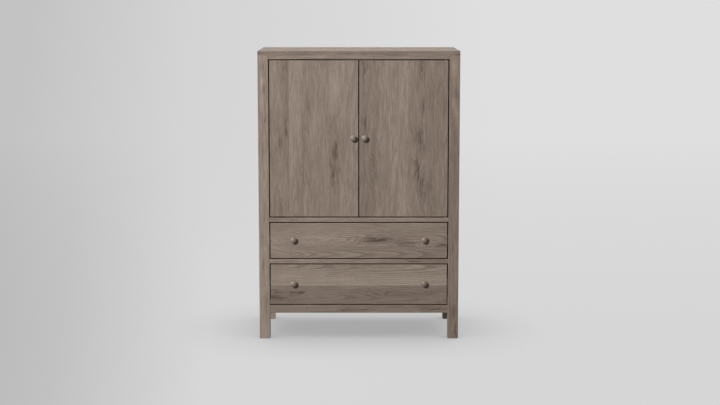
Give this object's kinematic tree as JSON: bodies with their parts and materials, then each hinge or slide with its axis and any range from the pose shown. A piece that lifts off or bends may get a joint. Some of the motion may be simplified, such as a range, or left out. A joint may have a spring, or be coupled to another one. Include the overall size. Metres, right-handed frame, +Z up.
{
  "type": "tv armoire",
  "caption": "Tall wood media armoire on square legs, with inset slab doors over a shelf compartment and full-extension drawers below, all with turned wood knobs.",
  "frame": {"origin": "on the floor under the middle of the bounding box, knobs included", "axes": "+Z up, -Y out of the front with the doors and drawers, +X to the right seen from the front"},
  "size_m": [0.965, 0.5206, 1.395],
  "materials": {
    "weathered_grey_oak": "grey-brown stain with a matt lacquer, open grain",
    "drawer_box_poplar": "sanded pale wood with a clear sealer",
    "drawer_bottom_plywood": "sanded thin plywood",
    "grey_stained_plywood": "stained thin plywood",
    "beech_dowel": "plain turned",
    "brass_pivots": "satin",
    "zinc_plated_slides": "bright zinc plate",
    "zinc_screws": "zinc plate",
    "nickel_steel": "nickel plate",
    "brown_plastic_catch": "moulded, matt"
  },
  "bodies": {
    "cabinet": {"top_panel": "weathered_grey_oak", "front_left_post": "weathered_grey_oak", "front_right_post": "weathered_grey_oak", "rear_left_post": "weathered_grey_oak", "rear_right_post": "weathered_grey_oak", "left_side_panel": "weathered_grey_oak", "right_side_panel": "weathered_grey_oak", "top_front_rail": "weathered_grey_oak", "door_rail": "weathered_grey_oak", "drawer_rail": "weathered_grey_oak", "bottom_front_rail": "weathered_grey_oak", "top_rear_rail": "weathered_grey_oak", "bottom_rear_rail": "weathered_grey_oak", "back_panel": "grey_stained_plywood", "compartment_floor": "weathered_grey_oak", "floor_cleats": "drawer_box_poplar", "adjustable_shelf": "weathered_grey_oak", "shelf_pins": "nickel_steel", "left_frame_pivots": "brass_pivots", "right_frame_pivots": "brass_pivots", "frame_pivot_screws": "zinc_screws", "door_catches": "brown_plastic_catch", "upper_slide_cleats": "drawer_box_poplar", "lower_slide_cleats": "drawer_box_poplar", "upper_cabinet_slides": "zinc_plated_slides", "lower_cabinet_slides": "zinc_plated_slides", "cabinet_slide_screws": "zinc_screws", "top_dowels": "beech_dowel"},
    "left_door": {"left_door_slab": "weathered_grey_oak", "left_door_knob": "weathered_grey_oak", "left_door_knob_screw": "zinc_screws", "left_door_pivots": "brass_pivots", "left_door_pivot_screws": "zinc_screws", "left_strike_plate": "nickel_steel"},
    "right_door": {"right_door_slab": "weathered_grey_oak", "right_door_knob": "weathered_grey_oak", "right_door_knob_screw": "zinc_screws", "right_door_pivots": "brass_pivots", "right_door_pivot_screws": "zinc_screws", "right_strike_plate": "nickel_steel"},
    "upper_drawer": {"upper_drawer_front": "weathered_grey_oak", "upper_drawer_left_side": "drawer_box_poplar", "upper_drawer_right_side": "drawer_box_poplar", "upper_drawer_box_front": "drawer_box_poplar", "upper_drawer_back": "drawer_box_poplar", "upper_drawer_bottom": "drawer_bottom_plywood", "upper_drawer_knobs": "weathered_grey_oak", "upper_drawer_knob_screws": "zinc_screws", "upper_drawer_slides": "zinc_plated_slides"},
    "upper_slide_middle": {"upper_middle_slides": "zinc_plated_slides"},
    "lower_drawer": {"lower_drawer_front": "weathered_grey_oak", "lower_drawer_left_side": "drawer_box_poplar", "lower_drawer_right_side": "drawer_box_poplar", "lower_drawer_box_front": "drawer_box_poplar", "lower_drawer_back": "drawer_box_poplar", "lower_drawer_bottom": "drawer_bottom_plywood", "lower_drawer_knobs": "weathered_grey_oak", "lower_drawer_knob_screws": "zinc_screws", "lower_drawer_slides": "zinc_plated_slides"},
    "lower_slide_middle": {"lower_middle_slides": "zinc_plated_slides"}
  },
  "joints": [
    {"name": "left_door_hinge", "type": "hinge", "parent": "cabinet", "child": "left_door", "pos_m": [-0.4127, -0.23275, 0.97475], "axis": [0, 0, -1], "range_deg": [0, 115]},
    {"name": "right_door_hinge", "type": "hinge", "parent": "cabinet", "child": "right_door", "pos_m": [0.4127, -0.23275, 0.97475], "axis": [0, 0, 1], "range_deg": [0, 115]},
    {"name": "upper_drawer_slide", "type": "slide", "parent": "cabinet", "child": "upper_drawer", "axis": [0, -1, 0], "range_m": [0, 0.38]},
    {"name": "lower_drawer_slide", "type": "slide", "parent": "cabinet", "child": "lower_drawer", "axis": [0, -1, 0], "range_m": [0, 0.38]},
    {"name": "upper_middle_slide", "type": "slide", "parent": "cabinet", "child": "upper_slide_middle", "axis": [0, -1, 0], "range_m": [0, 0.19]},
    {"name": "lower_middle_slide", "type": "slide", "parent": "cabinet", "child": "lower_slide_middle", "axis": [0, -1, 0], "range_m": [0, 0.19]}
  ],
  "couplings": [
    {"joint": "upper_middle_slide", "follows": "upper_drawer_slide", "ratio": 0.5},
    {"joint": "lower_middle_slide", "follows": "lower_drawer_slide", "ratio": 0.5}
  ]
}
